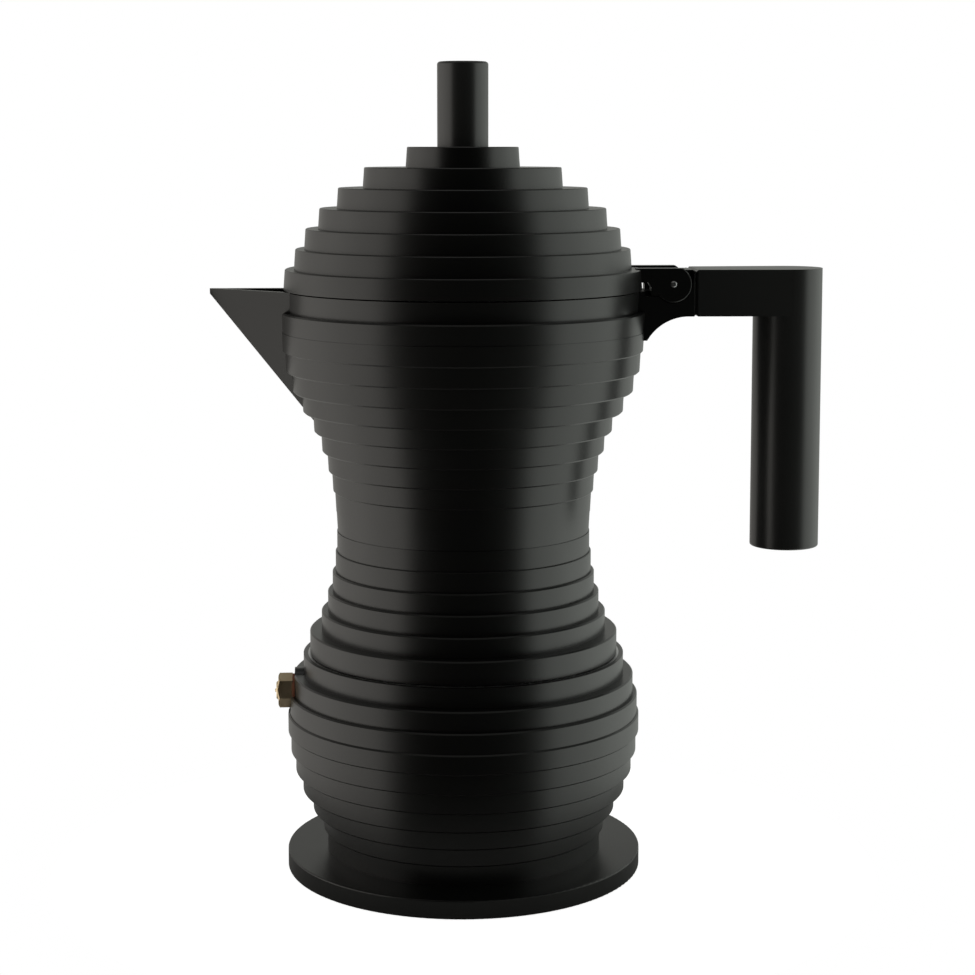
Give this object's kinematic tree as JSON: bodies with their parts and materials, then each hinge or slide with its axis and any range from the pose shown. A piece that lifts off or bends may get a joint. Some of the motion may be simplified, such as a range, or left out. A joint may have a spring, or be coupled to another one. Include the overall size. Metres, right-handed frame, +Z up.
{
  "type": "moka pot",
  "caption": "Stove-top moka pot of stacked rings with a waisted collector, pointed spout, hinged domed lid, L-shaped handle, safety valve, funnel and filter.",
  "frame": {"origin": "centre of the flat underside of the foot disc", "axes": "+Z up through the middle of the pot, +X towards the handle, -X towards the spout and safety valve, +Y to the left when looking along +X"},
  "size_m": [0.1983, 0.1172, 0.2623],
  "materials": {
    "black_cast": "matt black satin powder coat on cast aluminium",
    "foot_coat": "matt black satin coated disc",
    "bare_aluminium": "fine turned, bare aluminium",
    "brass": "turned brass, lightly worn",
    "steel": "plain zinc-bright steel",
    "spring_steel": "drawn stainless wire",
    "seal_rubber": "pale translucent silicone rubber",
    "fibre": "red-brown fibre washer",
    "black_plastic": "satin black heat-proof thermoplastic"
  },
  "bodies": {
    "boiler_group": {"foot_disc": "foot_coat", "boiler": "black_cast", "valve_body": "brass", "valve_washer": "fibre", "valve_cap": "brass", "valve_spring": "spring_steel"},
    "valve_plunger": {"valve_plunger": "brass"},
    "funnel_group": {"funnel": "bare_aluminium", "funnel_screen": "bare_aluminium"},
    "gasket": {"gasket": "seal_rubber"},
    "filter_plate": {"filter_plate": "bare_aluminium"},
    "collector_group": {"collector": "black_cast", "riser_tube": "bare_aluminium", "riser_cap": "bare_aluminium", "hinge_pin": "steel", "handle": "black_plastic", "handle_screw": "steel", "grip_end_cap": "black_plastic"},
    "lid_group": {"lid": "black_cast", "knob": "black_plastic", "knob_washer": "steel", "knob_screw": "steel"}
  },
  "joints": [
    {"name": "valve_lift", "type": "slide", "parent": "boiler_group", "child": "valve_plunger", "axis": [-1, 0, 0], "range_m": [0, 0.0012], "stiffness_N_per_m": 2000, "springref_m": -0.0005, "deforming": ["valve_spring"]},
    {"name": "funnel_lift", "type": "slide", "parent": "boiler_group", "child": "funnel_group", "axis": [0, 0, 1], "range_m": [0, 0.085]},
    {"name": "collector_lift", "type": "slide", "parent": "funnel_group", "child": "gasket", "axis": [0, 0, 1], "range_m": [0, 0.1]},
    {"name": "thread_rise", "type": "slide", "parent": "gasket", "child": "filter_plate", "axis": [0, 0, 1], "range_m": [0, 0.0081]},
    {"name": "collector_turn", "type": "hinge", "parent": "filter_plate", "child": "collector_group", "pos_m": [0, 0, 0.08], "axis": [0, 0, 1], "range_deg": [0, 720]},
    {"name": "lid_hinge", "type": "hinge", "parent": "collector_group", "child": "lid_group", "pos_m": [0.067, 0, 0.1916], "axis": [0, 1, 0], "range_deg": [0, 97]}
  ],
  "couplings": [
    {"joint": "thread_rise", "follows": "collector_turn", "m_per_rad": 0.00063662}
  ]
}
